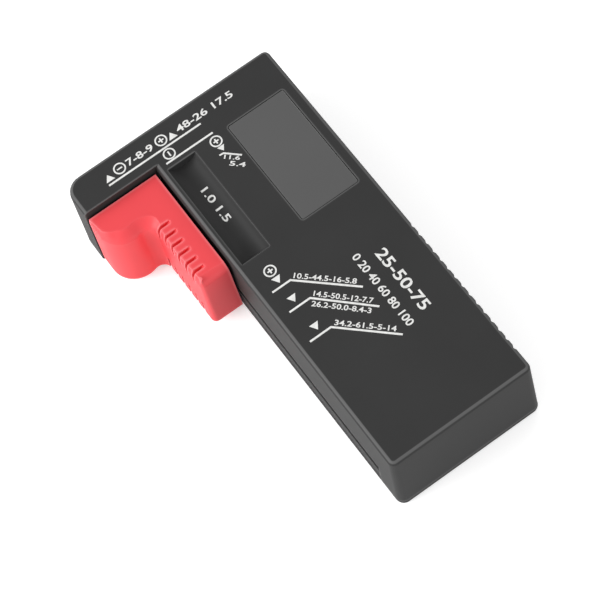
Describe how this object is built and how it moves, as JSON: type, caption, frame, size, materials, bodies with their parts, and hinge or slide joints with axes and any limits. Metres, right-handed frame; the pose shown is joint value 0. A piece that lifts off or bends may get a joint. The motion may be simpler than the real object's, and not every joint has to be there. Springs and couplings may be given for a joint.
{
  "type": "battery tester",
  "caption": "L-shaped handheld cell and battery tester with a display window and a sprung slider that clamps a round cell against the head.",
  "frame": {"origin": "centre of the case's outline on the back face that it lies on", "axes": "+Z out of the face, +Y towards the head, +X towards the display side"},
  "size_m": [0.0608, 0.108, 0.024],
  "materials": {
    "case_black": "satin moulded ABS",
    "cover_black": "satin moulded ABS",
    "window_grey": "smooth grey acrylic",
    "display_glass": "polished, grey-green",
    "holder_white": "moulded white nylon",
    "strip_rubber": "matt silicone with dark stripes",
    "board_green": "glass-fibre laminate with green mask",
    "resin_black": "glossy resin",
    "resistor_black": "matt with tinned ends",
    "capacitor_tan": "matt ceramic",
    "resistor_tan": "lacquered",
    "diode_black": "moulded epoxy",
    "sleeve_blue": "shrunk vinyl sleeve",
    "ferrite": "matt sintered ferrite",
    "copper": "enamelled copper wire",
    "trimmer_blue": "moulded",
    "steel": "zinc plated",
    "nickel": "nickel plated strip",
    "slider_red": "semi-gloss moulded ABS",
    "bronze": "phosphor bronze strip",
    "brass": "rolled brass strip",
    "spring_steel": "drawn spring wire",
    "wire_black": "vinyl insulation",
    "wire_red": "vinyl insulation",
    "print_white": "pad-printed white ink"
  },
  "bodies": {
    "case": {"front_shell": "case_black", "back_cover": "cover_black", "display_window": "window_grey", "display_glass": "display_glass", "display_holder": "holder_white", "contact_strip": "strip_rubber", "circuit_board": "board_green", "controller_blob": "resin_black", "chip_resistors": "resistor_black", "chip_capacitors": "capacitor_tan", "load_resistors": "resistor_tan", "rectifier_diodes": "diode_black", "storage_capacitor": "sleeve_blue", "inductor_core": "ferrite", "inductor_winding": "copper", "trimmer_body": "trimmer_blue", "trimmer_rotor": "holder_white", "board_screws": "steel", "cell_contact_head": "nickel", "block_contact_minus": "nickel", "block_contact_plus": "nickel", "contact_rail": "brass", "return_spring": "spring_steel", "wire_cell_minus": "wire_black", "wire_cell_plus": "wire_red", "wire_block_minus": "wire_black", "wire_block_plus": "wire_red"},
    "carriage": {"slider": "slider_red", "cell_contact_slider": "nickel", "wiper_spring": "bronze"}
  },
  "joints": [
    {"name": "slider_slide", "type": "slide", "parent": "case", "child": "carriage", "axis": [0, -1, 0], "range_m": [0, 0.062], "stiffness_N_per_m": 30, "springref_m": -0.03, "deforming": ["return_spring"]}
  ]
}
